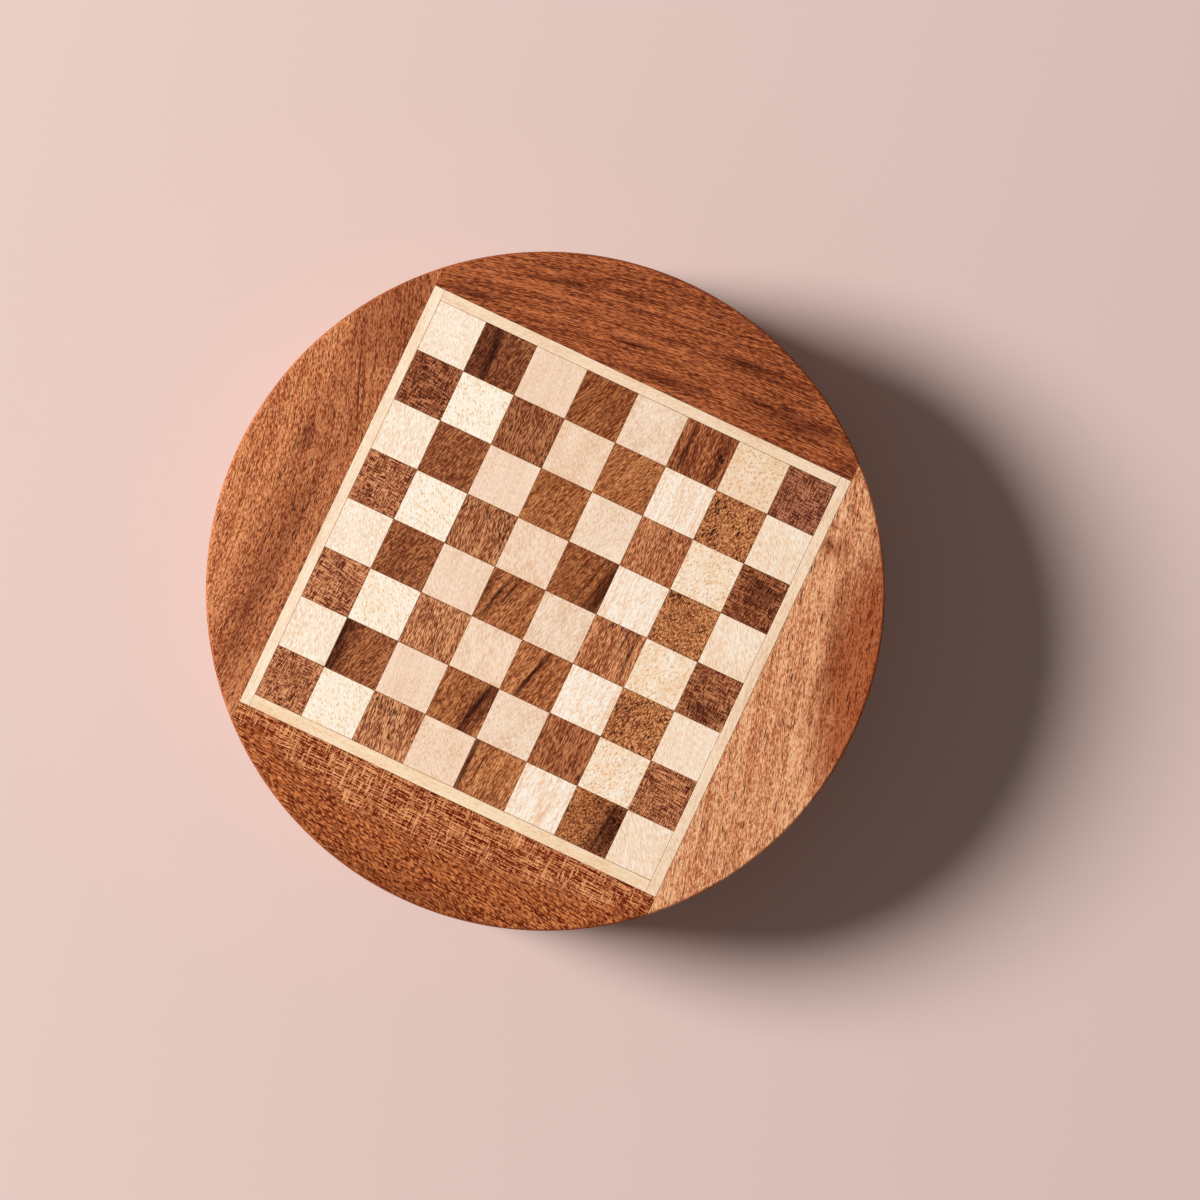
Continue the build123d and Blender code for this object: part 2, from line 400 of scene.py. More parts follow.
def bendGrain(tree, place, bends, wave):
    parts = split(tree, place)
    (middleY, rateX), (middleX, rateY) = bends
    size, amount, *upward = wave
    reach = (amount, amount, upward[0] if upward else 0)
    up = calc("POWER", tree, minus(tree, parts[1], middleY), 2)
    side = calc("POWER", tree, minus(tree, parts[0], middleX), 2)
    x = calc("MULTIPLY_ADD", tree, up, rateX / 2, parts[0])
    y = calc("MULTIPLY_ADD", tree, side, rateY / 2, parts[1])
    bent = join(tree, x, y, parts[2])
    wander = noise(tree, place, 1, 1 / size, "Color")
    wander = calcVector("SUBTRACT", tree, wander, (0.5, 0.5, 0.5))
    return calcVector("ADD", tree, bent, calcVector("MULTIPLY", tree, wander, reach))


def addFigure(tree, place, layers, seed):
    tone = 0.5
    for number, layer in enumerate(layers):
        feeds = dict(zip(effectNumbers["figure"], layer))
        feeds.update({"Place": place, "Seed": seed + woodPlan["layerSeed"] * number})
        tone = plus(tree, tone, useGroup(tree, grainFigure, feeds)["Tone"])
    return tone


def addMarks(tree, place, wood, colour, height):
    # Pores sink into the surface, and flecks only colour it
    seed = wood["seed"] + 50
    for kind, group in (("pores", poreDashes), ("flecks", scatteredFlecks)):
        for *shape, tint, strength, patch, spread in wood.get(kind, ()):
            seed += woodPlan["markSeed"]
            feeds = dict(zip(effectNumbers[kind], (*shape, patch, spread)))
            feeds.update({"Place": place, "Seed": seed})
            mask = times(tree, useGroup(tree, group, feeds)["Mask"], strength)
            colour = mixColours(tree, mask, colour, linear(tint))
            if kind == "pores":
                height = minus(tree, height, mask)
    return colour, height


def addStreaks(tree, place, wood, colour):
    for streak in wood.get("streaks", ()):
        feeds = {"Place": place, **dict(zip(effectNumbers["streaks"], streak))}
        tint, strength, *core = streak[len(effectNumbers["streaks"]):]
        feeds["Wander"] = min(feeds["Half Width"] * 1.6, woodPlan["widestWander"])
        feeds["Core"] = core[0] if core else woodPlan["core"]
        mask = times(tree, useGroup(tree, handStreak, feeds)["Mask"], strength)
        colour = mixColours(tree, mask, colour, linear(tint), "MULTIPLY")
    return colour


def addWood(tree, place, wood, lift):
    # Colour and height of one figure of wood with its marks
    tone = addFigure(tree, place, wood["figure"], wood["seed"])
    if "rings" in wood:
        feeds = {"Place": place, **dict(zip(effectNumbers["rings"], wood["rings"]))}
        tone = plus(tree, tone, useGroup(tree, growthRings, feeds)["Tone"])
    tone = plus(tree, tone, lift)
    contrast = woodPlan["contrast"]
    eased = calc("TANH", tree, calc("MULTIPLY_ADD", tree, tone, contrast, -contrast / 2))
    lower = plus(tree, eased, 1, clamp=True)
    upper = plus(tree, eased, 0, clamp=True)
    colour = mixTones(tree, lower, upper, wood["tones"])
    height = times(tree, tone, woodPlan["toneHeight"])
    return addMarks(tree, place, wood, colour, height)


def blendBeyond(tree, board, place, wood, lift, colour, height):
    # Past a bowed and wandering line the wood shows its other figure
    y, bow, soft, wander = wood["beyond"]["line"]
    other = {**wood, "flecks": (), **wood["beyond"], "seed": wood["seed"] + 90}
    otherColour, otherHeight = addWood(tree, place, other, lift)
    parts = split(tree, board)
    sway = minus(tree, noise(tree, board, 2, woodPlan["zoneScale"]), 0.5)
    reach = calc("MULTIPLY_ADD", tree, sway, wander, parts[1])
    bowed = times(tree, calc("POWER", tree, parts[0], 2), bow)
    share = easeBetween(tree, minus(tree, reach, bowed), y - soft, y + soft, 1, 0)
    colour = mixColours(tree, share, colour, otherColour)
    return colour, addNode(tree, "Mix", {0: share, 2: height, 3: otherHeight}).outputs[0]


def shadeTurnedEdge(tree, board, radius, tint, colour):
    # Painted shade: over its outer band, the rounded rim edge is mixed up to halfway towards a
    # darker red tint
    start, end = (radius - inside for inside in woodPlan["edgeShadeBand"])
    out = lengthOf(tree, *split(tree, board)[:2])
    share = easeBetween(tree, out, start, end, 0, woodPlan["edgeShadeShare"])
    return mixColours(tree, share, colour, linear(tint))


def darkenJoint(tree, board, inside, joint, colour):
    # Glue and dust darken the last of each square beside its joints
    tint, strength = joint
    frayed = noise(tree, board, 1, woodPlan["jointScale"])
    frayed = calc("MULTIPLY_ADD", tree, frayed, woodPlan["jointFray"], inside)
    rim = easeBetween(tree, frayed, *woodPlan["jointBand"], strength, 0)
    return mixColours(tree, rim, colour, linear(tint))


def woodMaterial(name, wood, cell=None, turn=(0, 0, 0)):
    # cell holds a square's left, near, width and depth, for wood that is cut into squares
    plan = woodPlan
    material, tree, shader = newMaterial(name)
    board = millimetres(tree, turn)
    still = ((0, 0), (0, 0))
    place = bendGrain(tree, board, wood.get("bends", still), wood.get("wave", (9, 0.8)))
    lift = 0.0
    if cell:
        own = useGroup(tree, squareCell, {"Place": board, **cell})
        place = calcVector("ADD", tree, place, own["Shift"])
        lift = calc("MULTIPLY_ADD", tree, own["Chance"], plan["cutSwing"], -plan["cutSwing"] / 2)
    colour, height = addWood(tree, place, wood, lift)
    if "beyond" in wood:
        colour, height = blendBeyond(tree, board, place, wood, lift, colour, height)
    colour = addStreaks(tree, board, wood, colour)
    # Painted shade along the rounded rim edge
    if "shadedTurnedEdge" in wood:
        colour = shadeTurnedEdge(tree, board, *wood["shadedTurnedEdge"], colour)
    if cell:
        colour = darkenJoint(tree, board, own["Inside"], wood["joint"], colour)
    coat = useGroup(tree, lacquer, {"Place": board, "Satin": wood.get("satin", plan["satin"])})
    coatHeight = times(tree, coat["Height"], plan["coatHeight"])
    height = plus(tree, height, coatHeight)
    feed(tree, shader, {
        "Base Color": colour,
        "Roughness": coat["Roughness"],
        "Normal": addNode(tree, "Bump", {"Height": height, **plan["bump"]}).outputs[0],
        "Specular IOR Level": wood.get("gloss", plan["gloss"]),
    })
    return material


# Modelling: what the pieces share

modelPlan = {"onTop": 0.01 * mm, "upright": 0.99, "ring": 0.1 * mm, "smoothBelow": 32}
inlayPlan = {"edge": 0.06 * mm, "edgeSteps": 2, "glueLine": 0.08}


def selectParts(kind, wanted):
    # Selects, in edit mode, the edges or the faces that pass the test
    data = bpy.context.object.data
    bpy.ops.mesh.select_all(action="DESELECT")
    bpy.ops.mesh.select_mode(type="EDGE" if kind == "edges" else "FACE")
    mesh = bmesh.from_edit_mesh(data)
    for part in getattr(mesh, kind):
        part.select_set(wanted(part))
    mesh.select_flush(True)
    bmesh.update_edit_mesh(data)


def setMode(mode):
    bpy.ops.object.mode_set(mode=mode)


def cutAway(point, normal):
    # Cuts off what lies on the side that the normal points to, and closes the cut
    bpy.ops.mesh.select_all(action="SELECT")
    bpy.ops.mesh.bisect(plane_co=point, plane_no=normal, use_fill=True, clear_outer=True)


def roundTop(top, size, steps):
    # Opens a new shape, rounds its top edges and rings its top faces to hold the shading
    bpy.ops.object.transform_apply(location=True, rotation=True, scale=True)
    setMode("EDIT")
    level = top - modelPlan["onTop"]
    selectParts("edges", lambda edge: min(v.co.z for v in edge.verts) > level)
    bpy.ops.mesh.bevel(offset=size, segments=steps)
    upright = modelPlan["upright"]
    selectParts("faces", lambda f: f.normal.z > upright and f.calc_center_median().z > level)
    bpy.ops.mesh.inset(thickness=modelPlan["ring"])


def addInlayBox(middle, size):
    bpy.ops.mesh.primitive_cube_add(size=1, location=middle, scale=size)
    roundTop(boardHigh.z, inlayPlan["edge"], inlayPlan["edgeSteps"])


def finishPiece(name, material, body, slot, *replaced):
    # Places the piece's transform in its mesh, shades it and makes it ride
    piece = bpy.context.object
    piece.name = piece.data.name = name
    bpy.ops.object.transform_apply(location=True, rotation=True, scale=True)
    bpy.ops.object.shade_smooth_by_angle(angle=math.radians(modelPlan["smoothBelow"]))
    piece.data.materials.clear()
    piece.data.materials.append(material)
    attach(piece, body)
    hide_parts(*replaced)
    bpy.ops.object.select_all(action="DESELECT")
    return piece


# Squares: sixteen strips of wood, each cut into the four squares of its colour in one file

squaresPlan = {"ranks": 8, "outerTrim": 1.3}

leaningFigure = [
    (0.23, 1.3, -17, 4.4), (0.23, 5, -17, 2), (0.45, 12, -17, 1.2, 7, 0.4), (1.2, 30, -16, 0.9),
]
leaningFlecks = [(0.7, 2.2, -18, 0.42, 0.27, (62, 32, 24), 0.85, 5, 1.1)]

darkWoods = [
    {
        "tones": ((234, 163, 114), (164, 92, 57), (77, 24, 10)),
        "figure": [
            (0.23, 2.6, -6, 5.8, 4, 0.6), (0.24, 2.4, 85, 6.4, 4, 0.6), (0.22, 0.6, -8, 4),
            (0.6, 2.2, 4, 0.8), (4, 8, 0, 1.1),
        ],
        "pores": [(0.3, 1.8, -6, 0.34, (58, 24, 20), 0.8, 4, 0.5)],
        "streaks": [(-50.6, 35.8, 0, 24, 24, (212, 198, 192), 0.9)],
    },
    {
        "tones": ((202, 130, 82), (134, 72, 41), (93, 39, 18)),
        "figure": [
            (0.23, 1.2, -15, 4.8), (0.23, 4, -15, 2), (0.24, 2.4, 80, 2, 5, 0.6),
            (0.5, 12, -13, 1), (3, 30, -8, 0.8),
        ],
        "pores": [(0.28, 0.9, -14, 0.28, (56, 24, 16), 0.6, 5, 0.3)],
        "streaks": [
            (-39.1, 50, 1, 2.3, 21, (116, 94, 98), 1, 0),
            (-42.2, 50, 0, 5, 21, (176, 156, 158), 0.7, 0.3),
            (-36, 50, 0, 24, 24, (222, 216, 218), 0.8),
            (-44.6, -35.5, -5, 6, 21, (112, 88, 88), 1, 0.2),
        ],
    },
    {
        "tones": ((248, 182, 129), (178, 107, 68), (100, 42, 20)),
        "figure": [
            (0.23, 1.4, 6, 4.8), (0.23, 5, 6, 2), (0.5, 6, 4, 1), (1.4, 20, 3, 0.8),
            (4, 16, 0, 1.1),
        ],
        "pores": [(0.3, 1.7, 6, 0.4, (50, 27, 25), 0.9, 5, 0.6)],
        "flecks": [(0.7, 2.6, 5, 0.5, 0.27, (70, 38, 34), 0.85, 5, 1)],
        "streaks": [
            (-22, 35.8, 0, 24, 24, (206, 190, 182), 0.9),
            (-22, 7.3, 0, 24, 24, (228, 220, 214), 0.8),
        ],
    },
    {
        "tones": ((223, 151, 96), (158, 89, 49), (96, 37, 14)),
        "bends": ((7, -0.0025), (0, 0)),
        "figure": [*leaningFigure, (3, 40, -14, 1.2)],
        "pores": [(0.3, 1.5, -17, 0.3, (56, 26, 18), 0.8, 5, 0.6)],
        "flecks": leaningFlecks,
        "streaks": [
            (-11.2, -6.8, -14, 0.9, 12, (110, 88, 84), 1, 0),
            (-8.2, -4, -15, 0.7, 9, (120, 98, 94), 1, 0),
            (-14.5, -7, -8, 2, 14, (176, 158, 150), 0.9, 0),
            (-3.6, -35, -10, 1.1, 14, (112, 90, 86), 1, 0),
            (-3, -35, -10, 3.6, 21, (164, 142, 136), 1, 0.2),
            (-6, 50.1, 0, 24, 24, (225, 212, 206), 0.9),
        ],
    },
    {
        "tones": ((230, 160, 102), (169, 97, 56), (110, 48, 20)),
        "bends": ((-7, -0.0039), (0, 0)),
        "figure": [*leaningFigure, (3, 40, -16, 1.3)],
        "pores": [(0.3, 1.4, -17, 0.32, (56, 28, 18), 0.8, 5, 0.6)],
        "flecks": leaningFlecks,
        "streaks": [
            (6.2, -21.2, -17, 1.1, 18, (100, 76, 70), 1, 0),
            (13.9, 7.5, -14, 3.6, 21, (132, 108, 102), 1, 0.1),
            (9.4, 7.5, -15, 0.8, 14, (150, 126, 118), 1, 0),
            (7.3, 7.3, 0, 24, 24, (218, 206, 200), 0.9),
            (0.6, -49, -4, 1.8, 21, (112, 90, 84), 1, 0),
            (3.8, -49, -5, 0.45, 7, (135, 110, 102), 0.9),
        ],
    },
    {
        "tones": ((244, 172, 118), (174, 101, 62), (113, 51, 24)),
        "figure": [
            (0.23, 1.5, 3, 4.8), (0.23, 6, 3, 2.4), (0.5, 12, 2, 1.1, 6, 0.4), (1.4, 30, 0, 0.8),
            (3.4, 40, 0, 1.1),
        ],
        "pores": [(0.3, 2, 4, 0.36, (50, 28, 28), 0.9, 5, 0.7)],
        "flecks": [(0.7, 2.8, 4, 0.62, 0.28, (72, 42, 38), 0.85, 5, 1.1)],
        "streaks": [
            (17.6, 50, -2, 1.3, 16, (130, 106, 102), 0.9, 0),
            (26.6, 50, -3, 1.6, 16, (160, 136, 130), 0.9, 0),
            (26.8, -7, -2, 1.1, 14, (116, 98, 98), 0.9, 0),
            (24.2, -4, -2, 0.5, 7, (130, 110, 106), 0.9, 0),
            (22, 50.1, 0, 24, 24, (222, 206, 200), 0.9),
            (22, -35.4, 0, 24, 24, (218, 204, 198), 0.9),
        ],
    },
    {
        "tones": ((236, 167, 108), (170, 99, 58), (112, 49, 22)),
        "figure": [
            (0.27, 0.8, -15, 5.2), (0.23, 0.6, -15, 3.4), (1, 3, -14, 1.2), (4, 12, -10, 0.8),
        ],
        "pores": [(0.38, 0.95, -16, 0.58, (62, 29, 16), 0.95, 3.5, 0.6)],
        "streaks": [
            (42.6, -50, -3, 8.5, 21, (130, 106, 98), 1, 0),
            (40.2, -50, -6, 0.9, 14, (140, 116, 108), 0.9, 0),
            (36.6, -49.7, 0, 24, 24, (238, 228, 222), 0.9),
        ],
    },
    {
        "tones": ((230, 157, 108), (157, 88, 54), (78, 29, 13)),
        "figure": [
            (0.23, 2.8, 1, 5.8, 4, 0.6), (0.24, 2.6, 86, 5.4, 4, 0.6), (0.22, 0.6, 0, 4),
            (0.7, 3, 84, 1.1), (3, 8, 84, 1.2),
        ],
        "pores": [(0.3, 1.2, 2, 0.36, (50, 22, 20), 0.75, 5, 0.5)],
        "streaks": [
            (52, 24, 88, 4.5, 9, (160, 138, 134), 0.8), (51, -11, 84, 4, 9, (160, 136, 130), 0.8),
            (50.6, 50, 0, 24, 24, (220, 212, 232), 0.8),
            (50.6, 7.3, 0, 24, 24, (222, 208, 204), 0.8),
            (50.6, 21.5, 0, 24, 20, (226, 214, 210), 0.8),
        ],
    },
]

lightWoods = [
    {
        "tones": ((255, 250, 233), (253, 232, 208), (238, 201, 168)),
        "figure": [(0.23, 1.1, 8, 5.2), (1.2, 8, 6, 0.6), (4, 12, 5, 1)],
    },
    {
        "tones": ((255, 253, 242), (255, 242, 221), (242, 208, 171)),
        "figure": [(0.23, 1, 28, 2.8), (1.2, 6, 24, 0.5), (5, 9, 20, 0.8)],
        "flecks": [(0.5, 1.15, 30, 0.85, 0.45, (230, 178, 116), 0.85, 4, 0.6)],
    },
    {
        "tones": ((255, 231, 210), (246, 215, 188), (230, 189, 155)),
        "figure": [(0.23, 1, 10, 3.6), (0.7, 26, 2, 1.2), (1.4, 8, 6, 0.7), (5, 20, 0, 1.1)],
    },
    {
        "tones": ((255, 230, 207), (245, 213, 184), (226, 181, 144)),
        "figure": [(0.23, 1.1, 16, 4.2), (1.2, 3, 12, 0.5), (3, 8, -24, 0.9), (6, 12, 10, 1.4)],
    },
    {
        "tones": ((255, 234, 213), (246, 217, 190), (224, 182, 147)),
        "figure": [(0.23, 1.1, -4, 4.2), (1.2, 5, -18, 0.5), (4, 11, -20, 1.2), (7, 12, -14, 1.4)],
    },
    {
        "tones": ((255, 252, 241), (255, 233, 210), (238, 195, 158)),
        "figure": [(0.24, 1.2, -10, 4.6), (0.26, 6, 0, 2.6), (0.8, 24, 1, 1.5), (4, 16, 2, 1)],
    },
    {
        "tones": ((255, 252, 243), (254, 229, 200), (238, 197, 152)),
        "figure": [(0.23, 1, -14, 3), (1.4, 7, -10, 0.8), (5, 8, 10, 1.4)],
        "flecks": [(0.62, 1.1, -14, 0.8, 0.46, (216, 154, 92), 0.72, 4, 0.9)],
        "streaks": [(36.6, 50.1, 0, 24, 24, (248, 238, 228), 0.9)],
    },
    {
        "tones": ((255, 247, 232), (253, 225, 197), (234, 192, 153)),
        "figure": [(0.23, 1.3, 27, 3.8), (1, 14, 14, 0.9), (4, 12, 10, 0.9)],
    },
]

squareLooks = {
    "dark": {"woods": darkWoods, "firstSeed": 1.0, "joint": ((126, 70, 32), 0.4)},
    "light": {"woods": lightWoods, "firstSeed": 11.0, "joint": ((222, 156, 92), 0.6)},
}


def addSquares():
    ranks, trim = squaresPlan["ranks"], squaresPlan["outerTrim"]
    glue = inlayPlan["glueLine"]
    span = (fieldHigh.x - fieldLow.x) / mm + glue
    width = (span + 2 * trim) / ranks
    start = fieldLow.x / mm - glue / 2
    near = fieldLow.y / mm - glue / 2
    depth = ((fieldHigh.y - fieldLow.y) / mm + glue) / ranks
    for file in range(ranks):
        # The outer two files are trimmed
        left = start - trim + file * width if file else start
        fileWidth = width - trim if file in (0, ranks - 1) else width
        cell = {"Left": left, "Near": near, "Width": fileWidth, "Depth": depth}
        for turn, (colour, look) in enumerate(squareLooks.items()):
            first = (file + turn) % 2
            middle = (
                (left + fileWidth / 2) * mm,
                (near + (first + 0.5) * depth) * mm,
                (fieldLow.z + fieldHigh.z) / 2,
            )
            size = ((fileWidth - glue) * mm, (depth - glue) * mm, fieldHigh.z - fieldLow.z)
            addInlayBox(middle, size)
            bpy.ops.mesh.select_all(action="SELECT")
            for _ in range(ranks // 2 - 1):
                step = (0, 2 * depth * mm, 0)
                bpy.ops.mesh.duplicate_move(TRANSFORM_OT_translate={"value": step})
            setMode("OBJECT")
            wood = {**look["woods"][file], "joint": look["joint"]}
            wood["seed"] = look["firstSeed"] + file
            material = woodMaterial(f"{colour} wood of file {file + 1}", wood, cell)
            name = f"file_{file + 1}_{colour}_squares"
            finishPiece(name, material, "lid", f"{colour}_inlay", f"{colour}_squares")


addSquares()
print("squares laid")


# Border strips: pale boxwood round the squares, the side ones full length

stripsPlan = {"side": 2.9, "far": 3.0, "near": 3.4}

stripWoods = {
    "left": {
        "tones": ((255, 241, 215), (253, 226, 196), (232, 196, 157)), "seed": 21,
        "figure": [(0.22, 1.1, 4, 2.4), (0.8, 16, 1, 0.9), (3, 12, 0, 1.2)],
    },
    "right": {
        "tones": ((255, 234, 206), (249, 218, 187), (226, 187, 148)), "seed": 22,
        "figure": [(0.22, 1.1, 18, 3), (0.8, 14, 8, 1), (3, 12, 0, 1.4)],
    },
    "far": {
        "tones": ((255, 234, 204), (247, 217, 185), (228, 189, 147)), "seed": 23,
        "figure": [(0.22, 1, -72, 2.6), (0.8, 16, 89, 0.9), (3, 16, 90, 0.9)],
    },
    "near": {
        "tones": ((255, 234, 200), (249, 217, 181), (226, 186, 140)), "seed": 24,
        "figure": [(0.22, 1.1, 92, 2.6), (0.8, 16, 91, 1.1), (4, 14, 90, 1.3)],
    },
}


def addStrips():
    gap = inlayPlan["glueLine"] / 2 * mm
    side, far, near = (stripsPlan[place] * mm for place in ("side", "far", "near"))
    inside = boardHigh.x + gap - side
    spans = {
        "left": (boardLow.x, boardLow.y, -inside - gap, boardHigh.y),
        "right": (inside + gap, boardLow.y, boardHigh.x, boardHigh.y),
        "far": (gap - inside, boardHigh.y + 2 * gap - far, inside - gap, boardHigh.y),
        "near": (gap - inside, boardLow.y, inside - gap, boardLow.y - 2 * gap + near),
    }
    for place, (left, near, right, far) in spans.items():
        middle = ((left + right) / 2, (near + far) / 2, (boardLow.z + boardHigh.z) / 2)
        addInlayBox(middle, (right - left, far - near, boardHigh.z - boardLow.z))
        setMode("OBJECT")
        material = woodMaterial(f"{place} strip wood", stripWoods[place])
        finishPiece(f"{place}_border_strip", material, "lid", "border_inlay", "border_strips")


addStrips()
print("border strips laid")


# Rim segments: four woods round the board, rounded at the rim

# edgeShadeTint is the colour of the painted shade on the rounded rim edge
rimPlan = {"sides": 360, "round": 0.8 * mm, "roundSteps": 6, "edgeShadeTint": (146, 74, 41)}
rimWays = {"left": (-1, 0), "right": (1, 0), "far": (0, 1), "near": (0, -1)}

rimWoods = {
    "left": {
        "tones": ((242, 168, 113), (198, 117, 72), (120, 45, 17)), "seed": 31,
        "bends": ((0, 0.0044), (0, 0)), "wave": (36, 1.2),
        "figure": [
            (0.22, 0.9, 10, 5.2), (0.23, 6, 10, 2.2, 9, 0.8), (0.4, 14, 9, 1), (1.1, 40, 9, 0.9),
            (3.2, 90, 9, 1),
        ],
        "flecks": [
            (0.5, 1.8, 9, 0.4, 0.28, (140, 64, 34), 0.45, 6, 0.8),
            (0.7, 5, 11, 0.84, 0.27, (56, 32, 32), 1, 10, 1.1),
        ],
        "streaks": [
            (-66, 0, 0, 13, 95, (228, 220, 218), 1, 0.6),
            (-68, -28, -1, 3.6, 42, (216, 204, 204), 1, 0.3),
            (-66, 50, 0, 16, 20, (230, 220, 216), 1, 0.5),
            (-74, 10, 0, 4, 6, (216, 206, 206), 0.8, 0.3),
            (-67.4, 28.5, 22, 0.5, 19, (150, 124, 116), 0.9),
            (-66, 28.5, 22, 0.4, 17, (165, 138, 128), 0.8),
        ],
    },
    "right": {
        "tones": ((254, 204, 155), (227, 154, 108), (148, 66, 28)), "seed": 32,
        "wave": (36, 1.2),
        "figure": [
            (0.22, 0.9, 16, 4), (0.23, 5, 16, 2, 9, 0.8), (0.4, 14, 15, 1.1), (1.1, 40, 14, 0.9),
            (3.2, 90, 14, 1.2), (2.6, 1.2, 80, 0.9),
        ],
        "flecks": [
            (0.5, 1.8, 15, 0.4, 0.28, (172, 100, 66), 0.45, 5, 1),
            (0.6, 5, 15, 0.7, 0.3, (150, 86, 56), 0.7, 7, 1),
            (0.7, 7, 15, 0.84, 0.27, (84, 46, 38), 1, 12, 1.1),
        ],
        "streaks": [
            (88, 12, 16, 18.5, 54, (193, 150, 127), 1, 0.4),
            (74.5, 20, 15, 3.6, 32, (222, 206, 196), 0.9, 0),
            (63, 42, 0, 7, 5, (206, 184, 172), 0.9, 0.1),
            (62.4, 42.6, 70, 1.4, 2.6, (170, 142, 130), 0.8, 0),
            (64.5, 53, 82, 0.8, 4, (176, 146, 132), 0.9, 0),
            (67.5, 49.5, 104, 0.7, 3.4, (180, 150, 136), 0.9, 0),
            (61.8, 47.6, 86, 0.7, 3, (176, 146, 132), 0.9, 0),
        ],
    },
    "far": {
        "tones": ((208, 122, 72), (149, 74, 40), (72, 24, 10)), "seed": 33,
        "bends": ((0, 0), (60, 0.0022)), "wave": (40, 0.9),
        "figure": [
            (0.23, 9, -89, 3.2), (0.22, 1.5, -92, 4), (0.4, 40, -90, 1.6), (1, 60, -90, 0.7),
            (3.6, 90, -90, 0.9),
        ],
        "flecks": [(0.6, 3.4, -90, 0.52, 0.26, (74, 42, 40), 0.8, 9, 1.1)],
        "streaks": [
            (40, 68, -87, 4, 24, (190, 178, 176), 1), (6, 63.5, -83, 2.4, 18, (198, 184, 182), 1),
            (-6, 68.5, -82, 1, 13, (182, 168, 170), 1),
            (-50, 62.5, -86, 1.6, 9, (192, 180, 178), 1),
            (-31, 75, -77, 1.3, 15, (178, 164, 164), 1),
            (-12, 79.5, -81, 1, 14, (192, 178, 178), 1),
            (26, 76, -86, 2.4, 16, (194, 182, 180), 1),
        ],
    },
    "near": {
        "tones": ((236, 164, 108), (148, 52, 14), (88, 22, 2)), "seed": 34,
        "wave": (12, 0.9),
        "figure": [
            (0.24, 8, 89, 6.6), (0.25, 3, 1, 4, 4, 0.7), (1.3, 2.6, 2, 1), (0.22, 0.7, 89, 5),
        ],
        "flecks": [
            (1, 6, 1, 0.5, 0.4, (240, 170, 116), 0.8, 7, 1.4),
            (0.6, 3.6, 1, 0.46, 0.42, (240, 170, 114), 0.8, 5, 1.4),
        ],
        "beyond": {
            "line": (-73, 0.0026, 1.1, 9),
            "tones": ((204, 116, 64), (126, 53, 22), (82, 18, 2)),
            "figure": [(0.25, 7, 87, 5.6), (0.23, 1.2, 70, 6.6), (0.6, 12, 87, 1.5)],
            "flecks": [(0.42, 1.7, 74, 0.9, 0.5, (232, 148, 88), 0.85, 5, 0.8)],
        },
        "streaks": [(0, -93, 90, 15, 70, (206, 192, 188), 1, 0.1)],
    },
}


def addRimSegments():
    plan = rimPlan
    low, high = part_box("side_rim_segments")
    radius = high.x
    inner = boardHigh.x + inlayPlan["glueLine"] * mm
    for side, (x, y) in rimWays.items():
        bpy.ops.mesh.primitive_cylinder_add(
            vertices=plan["sides"],
            radius=radius,
            depth=high.z - low.z,
            location=(0, 0, (low.z + high.z) / 2),
        )
        roundTop(high.z, plan["round"], plan["roundSteps"])
        cutAway((x * inner, y * inner, 0), (-x, -y, 0))
        if y:
            for end in (1, -1):
                cutAway((end * boardHigh.x, 0, 0), (end, 0, 0))
        setMode("OBJECT")
        # The rounded rim edge gets its painted shade here
        wood = {**rimWoods[side], "shadedTurnedEdge": (radius / mm, plan["edgeShadeTint"])}
        material = woodMaterial(f"{side} rim wood", wood)
        replaced = "end_rim_segments" if y else "side_rim_segments"
        finishPiece(f"{side}_rim_segment", material, "lid", "rim_wood", replaced)


addRimSegments()
print("rim segments laid")


# Felts: copies of the cut shapes with soft edges and an uneven nap

feltPlan = {
    "tones": ((92, 132, 100), (44, 86, 60), (20, 46, 32)),
    "fibre": {"Across": 0.12, "Along": 1.6, "Strength": 1.4},
    "fibreTurns": (20, 75, 130), "firstSeed": 3.0, "clumpScale": 0.35, "clumpSwing": 0.7,
    "bump": {"Strength": 0.6, "Distance": 0.00025},
    "coat": {
        "Roughness": 0.95, "Specular IOR Level": 0.1, "Sheen Weight": 0.25, "Sheen Roughness": 0.5,
    },
    "edge": 0.28 * mm, "edgeSteps": 3, "merge": 0.002 * mm, "flatBelow": 0.5,
    "cell": 2.4 * mm, "unevenness": 0.05 * mm, "seed": 5,
}


def feltMaterial():
    plan = feltPlan
    material, tree, shader = newMaterial("pressed wool felt")
    place = millimetres(tree)
    fibres = []
    for number, turn in enumerate(plan["fibreTurns"]):
        feeds = {"Place": place, "Turn": turn, "Seed": plan["firstSeed"] + number, **plan["fibre"]}
        fibres.append(useGroup(tree, grainFigure, feeds)["Tone"])
    tangle = plus(tree, plus(tree, *fibres[:2]), fibres[2])
    clumps = minus(tree, noise(tree, place, 3, plan["clumpScale"]), 0.5)
    tone = calc("MULTIPLY_ADD", tree, clumps, plan["clumpSwing"], 0.5)
    tone = plus(tree, tone, tangle)
    lower = times(tree, tone, 2, clamp=True)
    upper = calc("MULTIPLY_ADD", tree, tone, 2, -1, clamp=True)
    height = plus(tree, tangle, clumps)
    feed(tree, shader, {
        "Base Color": mixTones(tree, lower, upper, plan["tones"]),
        "Normal": addNode(tree, "Bump", {"Height": height, **plan["bump"]}).outputs[0],
        **plan["coat"],
    })
    return material


def copyNode(name):
    # A copy of a node's mesh with its doubled points merged
    source = cadNodes[name]
    copy = bpy.data.objects.new(name + "_copy", source.data.copy())
    bpy.context.scene.collection.objects.link(copy)
    bpy.ops.object.select_all(action="DESELECT")
    copy.select_set(True)
    bpy.context.view_layer.objects.active = copy
    setMode("EDIT")
    bpy.ops.mesh.select_all(action="SELECT")
    bpy.ops.mesh.remove_doubles(threshold=feltPlan["merge"])
    bpy.ops.mesh.dissolve_limited(angle_limit=math.radians(feltPlan["flatBelow"]))
    setMode("OBJECT")
    return copy


